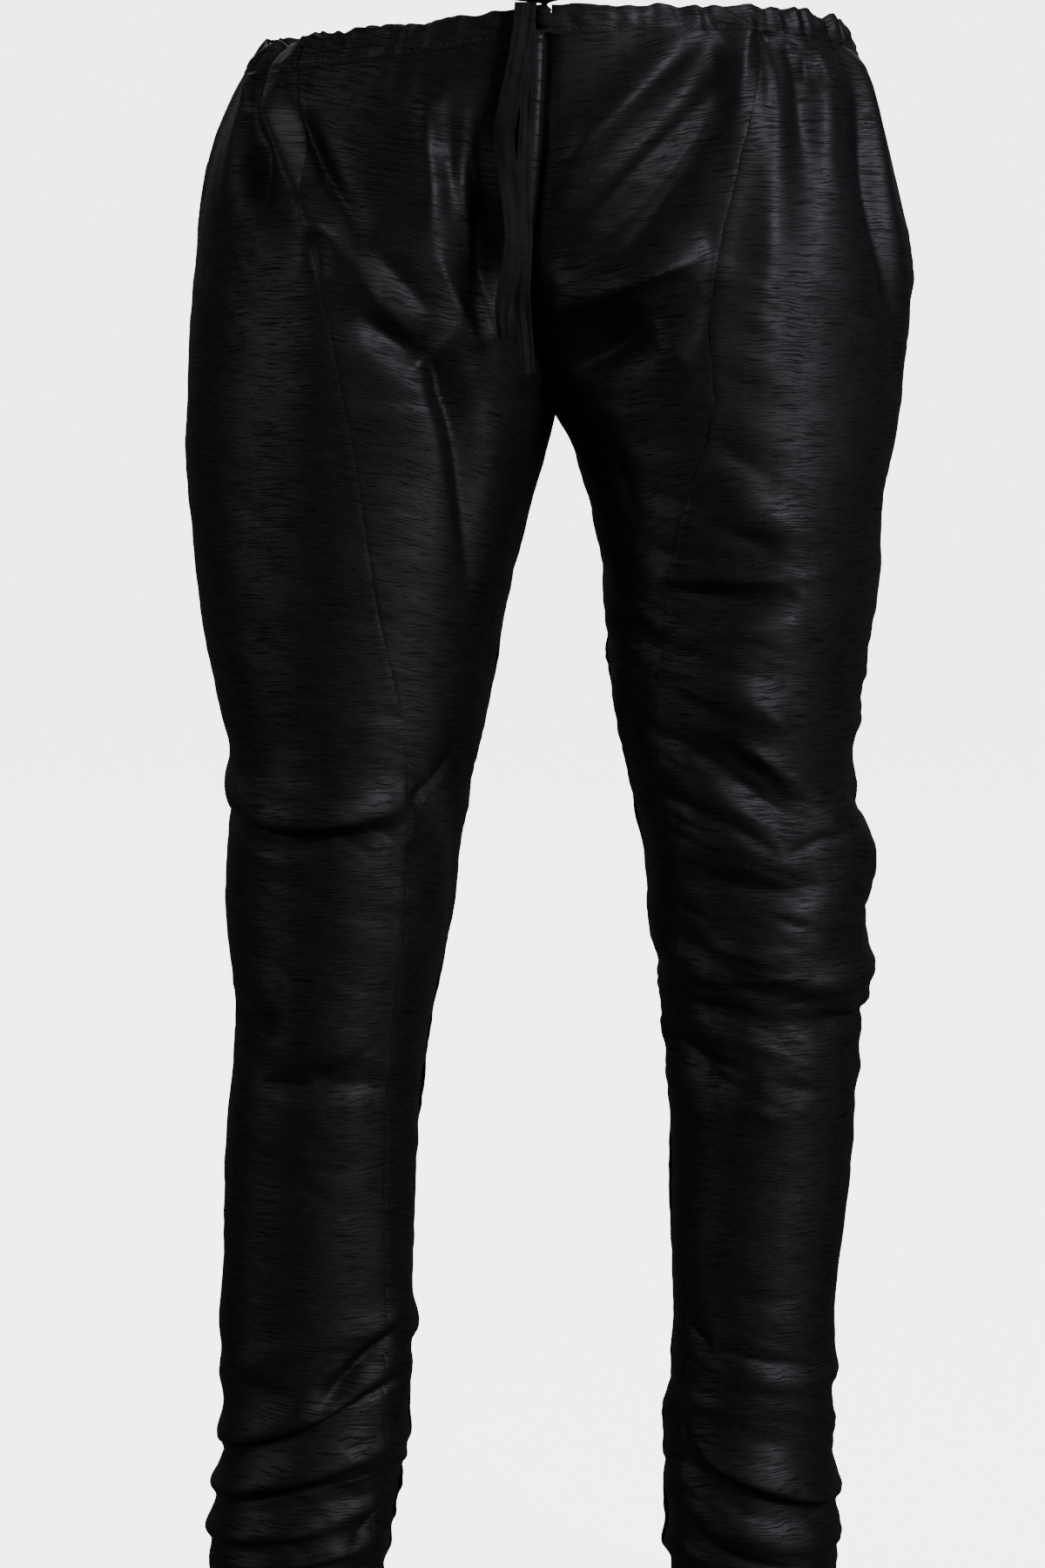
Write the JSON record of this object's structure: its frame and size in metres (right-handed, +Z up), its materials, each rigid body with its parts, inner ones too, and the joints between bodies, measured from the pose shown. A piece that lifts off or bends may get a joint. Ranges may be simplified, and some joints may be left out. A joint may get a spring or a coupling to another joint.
{
  "type": "churidar pants",
  "caption": "Black slub silk churidar with a drawstring waist, full hips, narrow legs and cloth gathered in rings at the ankles, in its worn, hollow form.",
  "frame": {"origin": "middle of the waist opening, level with the drawstring, where the wearer holds it up", "axes": "+Z up, the front faces -Y, the wearer's left leg at +X"},
  "size_m": [0.4557, 0.2545, 1.0505],
  "materials": {
    "black_silk": "slub silk, black, with a soft sheen and short cross-wise slubs",
    "drawstring_silk": "the same black slub silk, folded flat and crumpled"
  },
  "bodies": {
    "root": {"right_side_panel": "black_silk", "right_front_gusset": "black_silk", "right_back_gusset": "black_silk", "left_side_panel": "black_silk", "left_front_gusset": "black_silk", "left_back_gusset": "black_silk", "waist_casing": "black_silk", "drawstring_knot": "drawstring_silk", "drawstring_long_end": "drawstring_silk", "drawstring_short_end": "drawstring_silk"}
  },
  "joints": []
}
